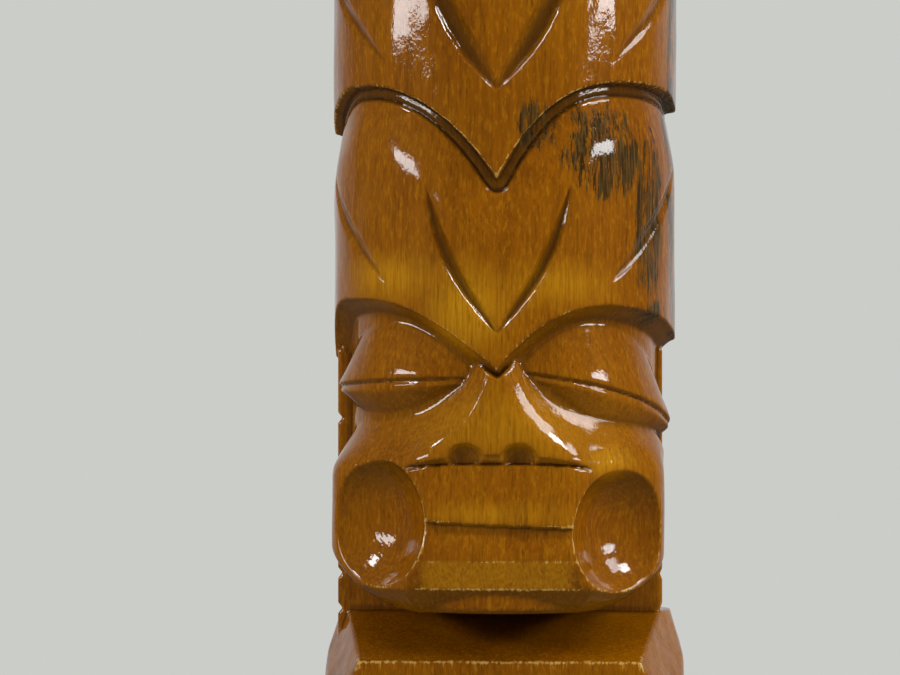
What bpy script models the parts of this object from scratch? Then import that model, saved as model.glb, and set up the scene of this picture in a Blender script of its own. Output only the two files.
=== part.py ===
"""Carved wooden tiki figure, screwed and dowelled to a separate square plinth.

The figure is one log: a tall banded headdress, a face with closed eyes and two
deep dishes at the corners of the mouth, square shoulders, bent arms and legs,
and a round foot block. Two lag screws with washers come up through the plinth,
two dowels stop the log from turning, and four felt pads carry the plinth.

Frame: +Z up, the figure looks along -Y, and the origin is at the middle of the
surface that the pads stand on.
"""

from math import cos, pi, radians, sin

import bmesh
import bpy
from mathutils import Matrix, Vector

MM = 0.001
GAP = 0.3 * MM  # between pieces that touch
SLIVER = 0.02 * MM  # points closer than this are one point

# The log tapers a little: its foot is wider than the headdress
LOG_RADIUS = 69 * MM
BODY_RADIUS = 71.5 * MM
LOG_SIDES = 72
HAIR_RADIUS = 66 * MM  # the column behind the face
HAIR_STEP = 0.5 * MM
NECK_RADIUS = 63 * MM
EDGE = 4 * MM  # the bevel at the top and under the hair

# Heights above the surface
PAD_HEIGHT = 3 * MM
PLINTH_HEIGHT = 24 * MM
FOOT_Z = PAD_HEIGHT + PLINTH_HEIGHT + GAP
BLOCK_TOP_Z = 50 * MM
SHOULDER_EDGE_Z = 240 * MM
NECK_Z = 256 * MM
CHIN_Z = 260 * MM
MOUTH_TOP_Z = 318 * MM
BROW_Z = 379 * MM  # tops of the brow's two arches
BAND_Z = (462 * MM, 552 * MM)  # tops of the arches that part the headdress's three bands
TOP_Z = 620 * MM

# Band edges: two arches meet in a V at the front, and again at the sides and the back
BROW_ARCH = (radians(48), 28 * MM, 17 * MM, 2.2)  # arch angle, V drop, side drop, curve
BAND_ARCH = (radians(55), 38 * MM, 12 * MM, 2.9)
SIDE_V = radians(95)
STEP_DEPTH = 5 * MM  # how far a band overhangs the one below it
STEP_FADE = 12 * MM  # how far down the lower band swells back to full width
LEAF_LENGTH = 60 * MM
LEAF_HALF_WIDTH = 4.5 * MM
LEAF_TIP = 0.6 * MM

# Face
FACE_RADIUS = LOG_RADIUS - 8 * MM  # between the brow and the mouth
CHEEK_ANGLE = radians(82)  # the face ends and the hair begins
HAIR_ANGLE = radians(90)
JAW_FRONT = 68.5 * MM  # the squared jaw's distances from the axis
JAW_SIDE = 65 * MM
JAW_BEVEL = 12 * MM
EYE_ANGLE = radians(36)
EYE_Z = 351 * MM
EYE_RADII = (37 * MM, 12.5 * MM, 19 * MM)
NOSTRIL_X = 10 * MM
NOSTRIL_RADIUS = 6.5 * MM
MOUTH_LINE_Z = 292.5 * MM
MOUTH_LINE_WIDTH = 3 * MM
DISH_ANGLE = radians(42)
DISH_REACH = 69.5 * MM  # from the axis to the flat corner that holds a dish
DISH_Z = 292.5 * MM
DISH_RIM = 24 * MM
DISH_DEPTH = 12 * MM

# Shoulders, body and limbs
CHEST_X = 54.5 * MM
CHEST_Y = -44.5 * MM
SHOULDER_X = 70 * MM
SHOULDER_Y = 12 * MM
BACK_X = 34 * MM
BACK_Y = 62 * MM
PECTORAL_Z = 184 * MM
HAND_Z = 146 * MM
KNEE_Z = 104 * MM
FOOT_INNER_X = 10 * MM
FOOT_OUTER_X = 56 * MM
TOE_Y = -55 * MM
HEEL_Y = 32 * MM
TOES = 4
CUT_WIDTH = 2 * MM
OUTSIDE = 90 * MM  # further out than any of the wood

# Plinth and what holds the log to it
PLINTH_SIDE = 164 * MM
PLINTH_CHAMFER = 5 * MM
SCREW_X = 34 * MM
SCREW_RADIUS = 3 * MM
SCREW_LENGTH = 56 * MM
HEAD_RADIUS = 6.5 * MM
HEAD_HEIGHT = 4.5 * MM
WASHER_RADIUS = 9 * MM
WASHER_HEIGHT = 1.5 * MM
COUNTERBORE = 9 * MM
DOWEL_Y = 30 * MM
DOWEL_RADIUS = 5 * MM
DOWEL_LENGTH = 34 * MM
PAD_RADIUS = 11 * MM
PAD_INSET = 21 * MM

WOOD = ("varnished_wood", (0.36, 0.155, 0.022), 0.22, 0.0)
DOWEL_WOOD = ("beech", (0.55, 0.36, 0.19), 0.6, 0.0)
STEEL = ("zinc_plated_steel", (0.55, 0.55, 0.53), 0.35, 1.0)
FELT = ("brown_felt", (0.09, 0.06, 0.045), 0.95, 0.0)


# Helpers ---------------------------------------------------------------------


def clear_scene():
    for found in list(bpy.data.objects):
        bpy.data.objects.remove(found, do_unlink=True)


def new_collection(name):
    made = bpy.data.collections.new(name)
    bpy.context.scene.collection.children.link(made)
    return made


def paint(target, spec):
    """Gives an object its material, which pieces of one kind share."""
    name, colour, roughness, metallic = spec
    made = bpy.data.materials.get(name)
    if made is None:
        made = bpy.data.materials.new(name)
        made.use_nodes = True
        made.diffuse_color = (*colour, 1)
        shader = made.node_tree.nodes["Principled BSDF"]
        shader.inputs["Base Color"].default_value = (*colour, 1)
        shader.inputs["Roughness"].default_value = roughness
        shader.inputs["Metallic"].default_value = metallic
    target.data.materials.clear()
    target.data.materials.append(made)


def mesh_object(name, shape, collection):
    """An object made of the bmesh `shape`, shaded smooth where it is round."""
    bmesh.ops.recalc_face_normals(shape, faces=shape.faces)
    mesh = bpy.data.meshes.new(name)
    shape.to_mesh(mesh)
    shape.free()
    mesh.shade_smooth()
    mesh.set_sharp_from_angle(angle=radians(35))
    made = bpy.data.objects.new(name, mesh)
    collection.objects.link(made)
    if collection is not parts:
        made.hide_render = True
        made.display_type = "WIRE"
    return made


def box(name, low, high, collection):
    """A block between two corners."""
    shape = bmesh.new()
    bmesh.ops.create_cube(shape, size=1)
    low, high = Vector(low), Vector(high)
    place = Matrix.Translation((low + high) / 2) @ Matrix.Diagonal((*(high - low), 1))
    bmesh.ops.transform(shape, matrix=place, verts=shape.verts)
    return mesh_object(name, shape, collection)


def hull(name, points, collection):
    """The convex block that wraps `points`."""
    shape = bmesh.new()
    for point in points:
        shape.verts.new(point)
    made = bmesh.ops.convex_hull(shape, input=shape.verts)
    inside = [item for item in made["geom_interior"] if isinstance(item, bmesh.types.BMVert)]
    bmesh.ops.delete(shape, geom=inside, context="VERTS")
    return mesh_object(name, shape, collection)


def cylinder(name, base, radius, height, collection, sides=24, top_radius=None):
    """An upright cylinder or cone that stands on the point `base`, with a flat towards +X."""
    shape = bmesh.new()
    bmesh.ops.create_cone(
        shape,
        cap_ends=True,
        segments=sides,
        radius1=radius,
        radius2=radius if top_radius is None else top_radius,
        depth=height,
    )
    middle = Vector(base) + Vector((0, 0, height / 2))
    place = Matrix.Translation(middle) @ Matrix.Rotation(pi / sides, 4, "Z")
    bmesh.ops.transform(shape, matrix=place, verts=shape.verts)
    return mesh_object(name, shape, collection)


def ellipsoid(name, centre, radii, collection, turn=0.0, sides=20):
    """A sphere scaled to `radii`, turned about Z and moved to `centre`."""
    shape = bmesh.new()
    bmesh.ops.create_uvsphere(shape, u_segments=sides, v_segments=sides // 2, radius=1)
    scale = Matrix.Diagonal((*radii, 1))
    place = Matrix.Translation(centre) @ Matrix.Rotation(turn, 4, "Z") @ scale
    bmesh.ops.transform(shape, matrix=place, verts=shape.verts)
    return mesh_object(name, shape, collection)


def tube(name, points, radii, collection, closed=False, resolution=1):
    """A round closed mesh that follows `points`, with a radius for each of them."""
    path = bpy.data.curves.new(name, "CURVE")
    path.dimensions = "3D"
    path.bevel_depth = 1.0
    path.bevel_resolution = resolution
    path.use_fill_caps = True
    spline = path.splines.new("POLY")
    spline.points.add(len(points) - 1)
    for knot, place, radius in zip(spline.points, points, radii):
        knot.co = (*place, 1)
        knot.radius = radius
    spline.use_cyclic_u = closed
    guide = bpy.data.objects.new(name, path)
    bpy.context.scene.collection.objects.link(guide)
    graph = bpy.context.evaluated_depsgraph_get()
    mesh = bpy.data.meshes.new_from_object(guide.evaluated_get(graph), depsgraph=graph)
    bpy.data.objects.remove(guide)
    shape = bmesh.new()
    shape.from_mesh(mesh)
    bmesh.ops.remove_doubles(shape, verts=shape.verts, dist=0.01 * MM)
    return mesh_object(name, shape, collection)


def boolean(target, operation, tool):
    """Adds a Boolean of one object, or of every object in a collection, and welds its slivers."""
    added = target.modifiers.new(operation.lower(), "BOOLEAN")
    added.operation = operation
    if isinstance(tool, bpy.types.Collection):
        added.operand_type = "COLLECTION"
        added.collection = tool
    else:
        added.object = tool
    weld = target.modifiers.new("weld", "WELD")
    weld.merge_threshold = SLIVER


def bevel(target, width, segments=1, angle=radians(60)):
    added = target.modifiers.new("bevel", "BEVEL")
    added.width = width
    added.segments = segments
    added.limit_method = "ANGLE"
    added.angle_limit = angle


# The log's surface -----------------------------------------------------------


def on_log(angle, z, outward=0.0):
    """A point of the log's surface, at `angle` from the front towards +X."""
    reach = LOG_RADIUS + outward
    return Vector((sin(angle) * reach, -cos(angle) * reach, z))


def arch_z(angle, top, arch):
    """The height of a band's lower edge. The back repeats the front."""
    arch_angle, v_drop, side_drop, curve = arch
    off_front = abs(angle)
    if off_front > SIDE_V:
        off_front = (pi - off_front) * SIDE_V / (pi - SIDE_V)
    if off_front < arch_angle:
        return top - v_drop * (1 - off_front / arch_angle) ** curve
    share = (off_front - arch_angle) / (SIDE_V - arch_angle)
    return top - side_drop * share**2


# Head ------------------------------------------------------------------------


def jaw_reach(angle):
    """The squared jaw seen from above: a flat front, flat sides and a flat corner at each dish."""
    off_front = abs(angle)
    front = JAW_FRONT / max(cos(off_front), 0.1)
    corner = DISH_REACH / max(cos(off_front - DISH_ANGLE), 0.1)
    side = JAW_SIDE / max(sin(off_front), 0.1)
    return min(front, corner, side)


def head_profile(angle):
    """The head's outline at `angle`, as (radius, height) points from the chin to the flat top."""
    share = (abs(angle) - CHEEK_ANGLE) / (HAIR_ANGLE - CHEEK_ANGLE)
    share = min(1, max(0, share))
    jaw = jaw_reach(angle) * (1 - share) + HAIR_RADIUS * share
    edge = JAW_BEVEL + (EDGE - JAW_BEVEL) * share
    face = FACE_RADIUS + (HAIR_RADIUS - HAIR_STEP - FACE_RADIUS) * share
    brow = arch_z(angle, BROW_Z, BROW_ARCH)
    points = [(jaw - edge, CHIN_Z), (jaw, CHIN_Z + edge)]
    points += [(jaw, MOUTH_TOP_Z), (face, MOUTH_TOP_Z + EDGE), (face, brow), (LOG_RADIUS, brow)]
    for top in BAND_Z:
        low = arch_z(angle, top, BAND_ARCH)
        points += [(LOG_RADIUS, low - STEP_FADE), (LOG_RADIUS - STEP_DEPTH, low), (LOG_RADIUS, low)]
    return points + [(LOG_RADIUS, TOP_Z - EDGE), (LOG_RADIUS - EDGE, TOP_Z)]


def head():
    """The round head and headdress, as a loft of its outline round the log's axis."""
    shape = bmesh.new()
    columns = []
    for step in range(LOG_SIDES):
        angle = 2 * pi * step / LOG_SIDES - pi
        places = [(sin(angle) * r, -cos(angle) * r, z) for r, z in head_profile(angle)]
        columns.append([shape.verts.new(place) for place in places])
    for number, column in enumerate(columns):
        before = columns[number - 1]
        for low in range(len(column) - 1):
            shape.faces.new((before[low], column[low], column[low + 1], before[low + 1]))
    shape.faces.new([column[0] for column in columns])
    shape.faces.new([column[-1] for column in columns])
    return mesh_object("carved_figure", shape, parts)


def leaf_cut(name, start, end, bow, cutters):
    """One gouge stroke, pointed at both ends, between two (angle, height) points of the log."""
    steps = 7
    points = []
    radii = []
    for step in range(steps + 1):
        share = step / steps
        angle = start[0] + (end[0] - start[0]) * share + bow * sin(pi * share)
        points.append(on_log(angle, start[1] + (end[1] - start[1]) * share))
        radii.append(LEAF_TIP + (LEAF_HALF_WIDTH - LEAF_TIP) * sin(pi * share) ** 0.7)
    tube(name, points, radii, cutters)


def leaf_cuts(cutters):
    """Each band has two pairs of strokes at the front and two at the back."""
    above_v = (BROW_Z - 10 * MM, BAND_Z[0] - 1 * MM, BAND_Z[1] - 6 * MM)
    for band, low in enumerate(above_v):
        high = min(low + LEAF_LENGTH, TOP_Z + EDGE)
        for turn, face in ((0, "front"), (pi, "back")):
            for side, hand in ((-1, "left"), (1, "right")):
                name = f"leaf_{face}_{hand}_{band}"
                near = (turn + side * radians(26), high), (turn + side * radians(1.5), low)
                far = (turn + side * radians(80), high + EDGE), (turn + side * radians(42), low + 20 * MM)
                leaf_cut(name + "_near", *near, side * radians(4), cutters)
                leaf_cut(name + "_far", *far, side * radians(3), cutters)


def hair_notches(cutters):
    """Level grooves that part the hair at the back into locks."""
    steps = 22
    first, last = radians(98), radians(262)
    for z in (333 * MM, 302 * MM, 271 * MM):
        angles = [first + (last - first) * step / steps for step in range(steps + 1)]
        lift = HAIR_RADIUS - LOG_RADIUS + HAIR_STEP
        path = [on_log(angle, z, lift) for angle in angles]
        tube(f"hair_notch_{z:.3f}", path, [2.5 * MM] * (steps + 1), cutters)


def eyes(additions):
    """Two almond mounds under the brow."""
    for side, hand in ((-1, "left"), (1, "right")):
        angle = side * EYE_ANGLE
        reach = LOG_RADIUS - EYE_RADII[1]
        centre = (sin(angle) * reach, -cos(angle) * reach, EYE_Z)
        ellipsoid(f"eye_{hand}", centre, EYE_RADII, additions, turn=angle)


def nose(additions):
    """A wedge that widens and comes forward from the brow down to the mouth."""
    high = BROW_Z - BROW_ARCH[1] - 3 * MM
    low = MOUTH_TOP_Z - 2 * MM
    points = []
    for side in (-1, 1):
        points.append((side * 4 * MM, -63 * MM, high))
        points.append((side * 12 * MM, -40 * MM, high))
        points.append((side * 20 * MM, -70.5 * MM, low))
        points.append((side * 38 * MM, -55 * MM, low))
        points.append((side * 38 * MM, -30 * MM, low))
    hull("nose", points, additions)


def face_cuts(cutters):
    """The dishes, the nostrils and the line between the lips."""
    sphere = (DISH_RIM**2 + DISH_DEPTH**2) / (2 * DISH_DEPTH)
    reach = DISH_REACH + sphere - DISH_DEPTH
    for side, hand in ((-1, "left"), (1, "right")):
        angle = side * DISH_ANGLE
        centre = (sin(angle) * reach, -cos(angle) * reach, DISH_Z)
        ellipsoid(f"dish_{hand}", centre, (sphere,) * 3, cutters, sides=32)
        nostril = (side * NOSTRIL_X, -LOG_RADIUS, MOUTH_TOP_Z + 2 * MM)
        ellipsoid(f"nostril_{hand}", nostril, (NOSTRIL_RADIUS,) * 3, cutters, sides=12)
    half = JAW_FRONT * sin(DISH_ANGLE) - DISH_RIM * cos(DISH_ANGLE)
    low = (-half, -OUTSIDE, MOUTH_LINE_Z - MOUTH_LINE_WIDTH / 2)
    high = (half, 2 * MM - JAW_FRONT, MOUTH_LINE_Z + MOUTH_LINE_WIDTH / 2)
    box("mouth_line", low, high, cutters)


# Body ------------------------------------------------------------------------


def neck(additions):
    """The hair column goes on down to the shoulders. The wood in front of it is cut away."""
    low = SHOULDER_EDGE_Z - 20 * MM
    high = CHIN_Z + 8 * MM
    column = cylinder("neck", (0, 0, low), NECK_RADIUS, high - low, additions, sides=48)
    space_low = (-OUTSIDE, -OUTSIDE, 0)
    front = box("neck_front", space_low, (OUTSIDE, -5 * MM, TOP_Z), loose_cutters)
    boolean(column, "DIFFERENCE", front)


def shoulders(additions):
    """A block with a flat chest and chamfered corners, whose top slopes up to the neck."""
    points = []
    for side in (-1, 1):
        rim = (
            (side * CHEST_X, CHEST_Y),
            (side * SHOULDER_X, -SHOULDER_Y),
            (side * SHOULDER_X, SHOULDER_Y),
            (side * CHEST_X, -CHEST_Y),
            (side * BACK_X, BACK_Y),
        )
        for x, y in rim:
            points.append((x, y, SHOULDER_EDGE_Z))
            points.append((x * 0.97, y * 0.97, PECTORAL_Z))
        points.append((side * (CHEST_X + 2 * MM), -4 * MM, NECK_Z))
        points.append((side * NECK_RADIUS, 2 * MM, NECK_Z))
        points.append((side * BACK_X, NECK_RADIUS * 0.8, NECK_Z))
    hull("shoulders", points, additions)


def body(additions):
    """A stout trunk, a round belly and the seat."""
    low = KNEE_Z + 8 * MM
    high = PECTORAL_Z + 6 * MM
    cylinder("trunk", (0, 4 * MM, low), 50 * MM, high - low, additions, sides=32, top_radius=56 * MM)
    ellipsoid("belly", (0, -28 * MM, 148 * MM), (38 * MM, 33 * MM, 30 * MM), additions)
    for side, hand in ((-1, "left"), (1, "right")):
        seat = (side * 24 * MM, 28 * MM, 128 * MM)
        ellipsoid(f"seat_{hand}", seat, (34 * MM, 32 * MM, 30 * MM), additions)


def limbs(additions):
    """Arms bent with the hands on the belly, and thick legs bent at the knee."""
    for side, hand in ((-1, "left"), (1, "right")):
        arm = (
            (side * 54 * MM, 2 * MM, 200 * MM),
            (side * 55 * MM, 8 * MM, 164 * MM),
            (side * 52 * MM, -6 * MM, HAND_Z),
            (side * 38 * MM, -42 * MM, HAND_Z + 1 * MM),
            (side * 16 * MM, -58 * MM, HAND_Z + 5 * MM),
        )
        widths = (16 * MM, 15 * MM, 15 * MM, 12 * MM, 9 * MM)
        tube(f"arm_{hand}", arm, widths, additions, resolution=2)
        leg = (
            (side * 36 * MM, 16 * MM, 126 * MM),
            (side * 38 * MM, -30 * MM, KNEE_Z + 4 * MM),
            (side * 37 * MM, -24 * MM, KNEE_Z - 18 * MM),
            (side * 35 * MM, 2 * MM, BLOCK_TOP_Z + 2 * MM),
        )
        widths = (30 * MM, 29 * MM, 26 * MM, 23 * MM)
        tube(f"leg_{hand}", leg, widths, additions, resolution=2)
        foot(side, hand, additions)


def foot(side, hand, additions):
    """A wedge from the heel to square toes, sunk a little into the block."""
    low = BLOCK_TOP_Z - 2 * MM
    outline = (
        (TOE_Y, low),
        (TOE_Y, BLOCK_TOP_Z + 9 * MM),
        (-14 * MM, BLOCK_TOP_Z + 18 * MM),
        (HEEL_Y, BLOCK_TOP_Z + 14 * MM),
        (HEEL_Y, low),
    )
    points = [(side * x, y, z) for x in (FOOT_INNER_X, FOOT_OUTER_X) for y, z in outline]
    block = hull(f"foot_{hand}", points, additions)
    bevel(block, 3 * MM, angle=radians(50))


def foot_block(additions):
    """The round end of the log that the feet stand on."""
    height = BLOCK_TOP_Z - FOOT_Z
    block = cylinder("foot_block", (0, 0, FOOT_Z), BODY_RADIUS, height, additions, sides=LOG_SIDES)
    bevel(block, 2.5 * MM)


def body_cuts(cutters):
    """The line between the breasts, and the cuts between the toes."""
    low = (-CUT_WIDTH / 2, -OUTSIDE, PECTORAL_Z - 2 * MM)
    box("breast_line", low, (CUT_WIDTH / 2, CHEST_Y + 2 * MM, SHOULDER_EDGE_Z - 8 * MM), cutters)
    for side in (-1, 1):
        for number in range(1, TOES):
            x = side * (FOOT_INNER_X + (FOOT_OUTER_X - FOOT_INNER_X) * number / TOES)
            low = (x - CUT_WIDTH / 2, -OUTSIDE, BLOCK_TOP_Z + 2 * MM)
            high = (x + CUT_WIDTH / 2, TOE_Y + 14 * MM, BLOCK_TOP_Z + 30 * MM)
            box(f"toe_cut_{side}_{number}", low, high, cutters)


def figure_holes(cutters):
    """Pilot holes for the lag screws and blind holes for the dowels, from below."""
    spare = 1 * MM
    screw_top = PAD_HEIGHT + COUNTERBORE + SCREW_LENGTH
    dowel_top = FOOT_Z + DOWEL_LENGTH / 2
    for side, hand in ((-1, "left"), (1, "right")):
        base = (side * SCREW_X, 0, 0)
        cylinder(f"pilot_{hand}", base, SCREW_RADIUS + GAP, screw_top + spare, cutters, sides=16)
    for side, place in ((-1, "front"), (1, "back")):
        base = (0, side * DOWEL_Y, 0)
        cylinder(f"dowel_hole_{place}", base, DOWEL_RADIUS + GAP, dowel_top + spare, cutters, sides=20)


def carved_figure():
    masses = new_collection("carved_masses")
    eyes(masses)
    nose(masses)
    neck(masses)
    shoulders(masses)
    body(masses)
    limbs(masses)
    foot_block(masses)

    cutters = new_collection("carved_cutters")
    leaf_cuts(cutters)
    hair_notches(cutters)
    face_cuts(cutters)
    body_cuts(cutters)
    figure_holes(cutters)

    figure = head()
    boolean(figure, "UNION", masses)
    boolean(figure, "DIFFERENCE", cutters)
    paint(figure, WOOD)


# Plinth and fixings ----------------------------------------------------------


def plinth():
    half = PLINTH_SIDE / 2
    top = PAD_HEIGHT + PLINTH_HEIGHT
    through = top + 5 * MM
    block = box("plinth", (-half, -half, PAD_HEIGHT), (half, half, top), parts)
    bevel(block, PLINTH_CHAMFER)
    bores = new_collection("plinth_cutters")
    for side, hand in ((-1, "left"), (1, "right")):
        base = (side * SCREW_X, 0, 0)
        cylinder(f"clearance_{hand}", base, SCREW_RADIUS + GAP, through, bores, sides=16)
        deep = PAD_HEIGHT + COUNTERBORE
        cylinder(f"counterbore_{hand}", base, WASHER_RADIUS + 1 * MM, deep, bores)
    for side, place in ((-1, "front"), (1, "back")):
        low = FOOT_Z - DOWEL_LENGTH / 2 - 1 * MM
        base = (0, side * DOWEL_Y, low)
        cylinder(f"dowel_bore_{place}", base, DOWEL_RADIUS + GAP, through, bores, sides=20)
    boolean(block, "DIFFERENCE", bores)
    paint(block, WOOD)


def washer(hand, side):
    """A flat ring between the screw's head and the bottom of its counterbore."""
    x = side * SCREW_X
    low = PAD_HEIGHT + COUNTERBORE - GAP - WASHER_HEIGHT
    ring = cylinder(f"washer_{hand}", (x, 0, low), WASHER_RADIUS, WASHER_HEIGHT, parts)
    name = f"washer_hole_{hand}"
    hole = cylinder(name, (x, 0, 0), SCREW_RADIUS + GAP, PLINTH_HEIGHT, loose_cutters, sides=16)
    boolean(ring, "DIFFERENCE", hole)
    paint(ring, STEEL)


def lag_screw(hand, side):
    """A hexagon head, a shank, and a point at the top."""
    x = side * SCREW_X
    shank_z = PAD_HEIGHT + COUNTERBORE - 2 * GAP - WASHER_HEIGHT
    head_z = shank_z - HEAD_HEIGHT
    name = f"lag_screw_{hand}"
    screw = cylinder(name, (x, 0, head_z), HEAD_RADIUS, HEAD_HEIGHT, parts, sides=6)
    stem = new_collection(f"{name}_stem")
    point = 8 * MM
    straight = SCREW_LENGTH - point
    sunk = 1 * MM
    cylinder(f"{name}_shank", (x, 0, shank_z - sunk), SCREW_RADIUS, straight + sunk, stem, sides=16)
    cylinder(
        f"{name}_point",
        (x, 0, shank_z + straight - sunk / 2),
        SCREW_RADIUS * 0.9,
        point,
        stem,
        sides=16,
        top_radius=SCREW_RADIUS / 5,
    )
    boolean(screw, "UNION", stem)
    paint(screw, STEEL)


def dowel(place, side):
    low = FOOT_Z - DOWEL_LENGTH / 2
    name = f"dowel_{place}"
    pin = cylinder(name, (0, side * DOWEL_Y, low), DOWEL_RADIUS, DOWEL_LENGTH, parts, sides=20)
    bevel(pin, 1 * MM)
    paint(pin, DOWEL_WOOD)


def felt_pad(name, x, y):
    pad = cylinder(name, (x, y, 0), PAD_RADIUS, PAD_HEIGHT - GAP, parts, sides=28)
    paint(pad, FELT)


clear_scene()
parts = new_collection("tiki_figure")
loose_cutters = new_collection("cutters")

carved_figure()
plinth()
for hand, side in (("left", -1), ("right", 1)):
    washer(hand, side)
    lag_screw(hand, side)
for place, side in (("front", -1), ("back", 1)):
    dowel(place, side)
corner = PLINTH_SIDE / 2 - PAD_INSET
for place, y in (("front", -corner), ("back", corner)):
    felt_pad(f"felt_pad_{place}_left", -corner, y)
    felt_pad(f"felt_pad_{place}_right", corner, y)
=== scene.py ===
"""Fine carved surface, materials, light and camera for the tiki figure.

The log is carved as a signed distance field in millimetres, negative inside the
wood, and meshed on a fine grid. Angles are degrees round the log from the middle
of the face, positive towards +X. Heights are above the floor.
"""

import bpy
import numpy as np
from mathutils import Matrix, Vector


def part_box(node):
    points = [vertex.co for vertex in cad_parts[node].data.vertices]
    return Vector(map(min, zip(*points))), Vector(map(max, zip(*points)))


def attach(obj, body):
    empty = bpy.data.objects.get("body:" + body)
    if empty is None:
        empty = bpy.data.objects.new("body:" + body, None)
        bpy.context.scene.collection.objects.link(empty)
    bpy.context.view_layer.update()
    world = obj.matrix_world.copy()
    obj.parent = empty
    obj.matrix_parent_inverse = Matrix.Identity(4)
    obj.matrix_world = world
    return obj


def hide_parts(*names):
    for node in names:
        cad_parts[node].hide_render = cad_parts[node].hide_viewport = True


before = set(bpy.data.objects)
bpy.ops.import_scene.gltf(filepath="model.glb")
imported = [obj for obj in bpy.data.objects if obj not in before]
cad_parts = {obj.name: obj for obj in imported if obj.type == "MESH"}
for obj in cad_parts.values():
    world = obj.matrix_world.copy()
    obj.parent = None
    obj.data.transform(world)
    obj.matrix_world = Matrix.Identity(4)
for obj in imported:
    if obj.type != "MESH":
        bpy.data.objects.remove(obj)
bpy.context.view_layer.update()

MM = 0.001
FIGURE_LOW, FIGURE_HIGH = (np.array(corner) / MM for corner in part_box("carved_figure"))
FOOT_Z = FIGURE_LOW[2]
TOP_Z = FIGURE_HIGH[2]
BODY_RADIUS = 71.5
LOG_RADIUS = 68.8  # the headdress and the face are carved a little inside the body's round
HEAD_LOW = 232  # the head's field starts here and the body's ends there; the wood overlaps
BODY_HIGH = 262
VOXEL = 0.9

# The head is a relief on the log: a table of the distance from the axis by angle and height.
ANGLE_STEP = 0.4
HEIGHT_STEP = 0.4
ANGLES = np.arange(-180, 180, ANGLE_STEP)
HEIGHTS = np.arange(HEAD_LOW, TOP_Z + 6, HEIGHT_STEP)
ARC_STEP = np.radians(ANGLE_STEP) * LOG_RADIUS


# Small field functions -------------------------------------------------------


def smooth_step(low, high, value):
    share = np.clip((value - low) / (high - low), 0, 1)
    return share * share * (3 - 2 * share)


def smooth_max(first, second, width):
    share = np.clip(0.5 + 0.5 * (first - second) / width, 0, 1)
    return second + (first - second) * share + width * share * (1 - share)


def smooth_min(first, second, width):
    return -smooth_max(-first, -second, width)


def soft_positive(value, width):
    """Nearly max(value, 0), rounded over `width`."""
    return 0.5 * (value + np.sqrt(value * value + width * width))


def ripple(x, y, z, length):
    """Smooth unevenness between about -1 and 1, with a wavelength of about `length`."""
    k = 2 * np.pi / length
    first = np.sin(k * (x + 0.4 * y) + 1.3) * np.sin(k * (z * 0.8 - 0.3 * x) + 0.4)
    second = np.sin(k * 0.7 * (y - 0.6 * z) + 2.1) * np.sin(k * 0.9 * (x + z * 0.5) + 3.7)
    return 0.5 * (first + second)


def rod(x, y, z, start, end, start_radius, end_radius):
    """Distance to a round limb that tapers from one point to another."""
    along = np.subtract(end, start)
    share = (x - start[0]) * along[0] + (y - start[1]) * along[1] + (z - start[2]) * along[2]
    share = np.clip(share / np.dot(along, along), 0, 1)
    dx = x - start[0] - share * along[0]
    dy = y - start[1] - share * along[1]
    dz = z - start[2] - share * along[2]
    return np.sqrt(dx * dx + dy * dy + dz * dz) - start_radius - (end_radius - start_radius) * share


def ball(x, y, z, centre, radii):
    """Distance to an ellipsoid, near enough close to its surface."""
    px, py, pz = x - centre[0], y - centre[1], z - centre[2]
    near = np.sqrt((px / radii[0]) ** 2 + (py / radii[1]) ** 2 + (pz / radii[2]) ** 2)
    steep = np.sqrt((px / radii[0] ** 2) ** 2 + (py / radii[1] ** 2) ** 2 + (pz / radii[2] ** 2) ** 2)
    return near * (near - 1) / np.maximum(steep, 1e-6)


def block(x, y, z, low, high, rounding):
    """Distance to a box with rounded edges."""
    middle = [(a + b) / 2 for a, b in zip(low, high)]
    half = [(b - a) / 2 - rounding for a, b in zip(low, high)]
    qx = np.abs(x - middle[0]) - half[0]
    qy = np.abs(y - middle[1]) - half[1]
    qz = np.abs(z - middle[2]) - half[2]
    outside = np.sqrt(np.maximum(qx, 0) ** 2 + np.maximum(qy, 0) ** 2 + np.maximum(qz, 0) ** 2)
    return outside + np.minimum(np.maximum(qx, np.maximum(qy, qz)), 0) - rounding


# Headdress -------------------------------------------------------------------

SIDE_V = 92.0  # two arches of a band's edge meet here at each side
CHANNEL_DEPTH = 5.6
CHANNEL_WIDTH = 4.6

# The edge of a band on the left and on the right of the face: the height of the arch's
# top, its angle, the drop to the V in front, the drop at the side, and the two curves.
BROW = ((380, 50, 27.6, 24, 2.0, 3.6), (377, 40, 24.6, 13, 2.5, 1.6))
BANDS = (
    ((462, 58, 37.2, 16, 2.7, 1.4), (462.5, 52, 37.7, 8, 3.1, 2.0)),
    ((552, 54, 37.5, 12, 3.0, 1.6), (552.5, 56, 38.0, 10, 2.8, 1.8)),
)


def arch_height(angle, arch):
    """The height of a band's lower edge on one side. The back repeats the front."""
    top, arch_angle, v_drop, side_drop, v_curve, side_curve = arch
    off_front = np.abs(angle)
    behind = (180 - off_front) * SIDE_V / (180 - SIDE_V)
    off_front = np.where(off_front > SIDE_V, behind, off_front)
    to_front = np.clip(1 - off_front / arch_angle, 0, 1)
    to_side = np.clip((off_front - arch_angle) / (SIDE_V - arch_angle), 0, 1)
    return top - v_drop * to_front**v_curve - side_drop * to_side**side_curve


def edge_height(angle, arches):
    left, right = (arch_height(angle, arch) for arch in arches)
    share = smooth_step(176, 180, np.abs(angle)) / 2
    share = np.where(angle < 0, share, 1 - share)
    return left + (right - left) * share


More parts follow.
